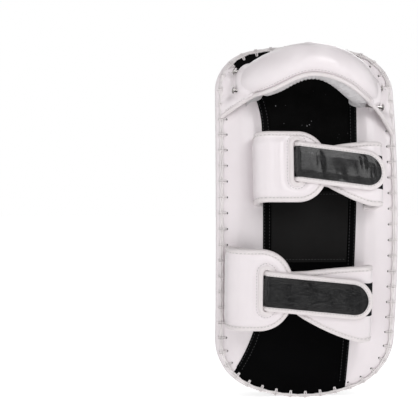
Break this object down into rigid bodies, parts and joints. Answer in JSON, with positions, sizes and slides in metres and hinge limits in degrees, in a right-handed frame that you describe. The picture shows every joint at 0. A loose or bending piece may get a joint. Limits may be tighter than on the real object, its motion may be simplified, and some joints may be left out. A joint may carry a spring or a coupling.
{
  "type": "thai pad",
  "caption": "Curved, padded forearm pad for kick and punch training, with laced edges, two hook-and-loop forearm straps and an arched hand guard.",
  "frame": {"origin": "middle of the back surface, halfway along and across the pad, where the forearm lies", "axes": "+Z along the pad towards the hand guard, -Y out of the back towards the forearm and straps, +Y out of the strike face, +X across the pad towards the side the strap tongues point to"},
  "size_m": [0.1934, 0.1637, 0.3886],
  "materials": {
    "white_leather": "smooth glossy",
    "binding_leather": "smooth semi-gloss",
    "black_leather": "smooth glossy",
    "patch_leather": "smooth satin",
    "suede": "matte suede",
    "black_lining": "matte woven",
    "pleated_lining": "satin, pleated",
    "foam": "matte closed-cell foam",
    "webbing": "woven",
    "lace": "waxed braided cord",
    "nickel": "polished nickel",
    "hook_and_loop": "fuzzy loop pile"
  },
  "bodies": {
    "pad": {"strike_face_cover": "white_leather", "strike_foam": "foam", "core_foam": "foam", "back_foam": "foam", "side_gusset": "black_leather", "face_piping": "black_leather", "seam_edge_band": "white_leather", "back_panel_left": "white_leather", "back_panel_right": "white_leather", "centre_panel_upper": "suede", "centre_panel_lower": "black_leather", "centre_patch": "patch_leather", "panel_edge_strip_left": "patch_leather", "panel_edge_strip_right": "patch_leather", "edge_lacing": "lace", "lacing_stitches": "lace", "guard_roll_cover": "white_leather", "guard_roll_foam": "foam", "guard_webbing": "webbing", "guard_lining": "pleated_lining", "guard_binding": "binding_leather", "guard_flap_left": "white_leather", "guard_flap_right": "white_leather", "guard_rivets": "nickel", "rivet_washers": "nickel", "upper_left_cuff": "white_leather", "upper_left_cuff_lining": "black_lining", "upper_left_cuff_binding": "binding_leather", "upper_slot_frame": "white_leather", "upper_right_cuff": "white_leather", "upper_right_cuff_lining": "black_lining", "upper_right_cuff_binding": "binding_leather", "upper_loop_patch": "hook_and_loop", "lower_left_cuff": "white_leather", "lower_left_cuff_lining": "black_lining", "lower_left_cuff_binding": "binding_leather", "lower_slot_frame": "white_leather", "lower_right_cuff": "white_leather", "lower_right_cuff_lining": "black_lining", "lower_right_cuff_binding": "binding_leather", "lower_loop_patch": "hook_and_loop"},
    "upper_tongue_flap": {"upper_tongue": "black_leather", "upper_tongue_binding": "binding_leather", "upper_hook_patch": "hook_and_loop"},
    "lower_tongue_flap": {"lower_tongue": "black_leather", "lower_tongue_binding": "binding_leather", "lower_hook_patch": "hook_and_loop"}
  },
  "joints": [
    {"name": "upper_tongue_peel", "type": "hinge", "parent": "pad", "child": "upper_tongue_flap", "pos_m": [-0.019, -0.04289, 0.05854], "axis": [0, -0.0992, -0.9951], "range_deg": [0, 150]},
    {"name": "lower_tongue_peel", "type": "hinge", "parent": "pad", "child": "lower_tongue_flap", "pos_m": [-0.051, -0.04151, -0.07101], "axis": [0, 0.1204, -0.9927], "range_deg": [0, 150]}
  ]
}
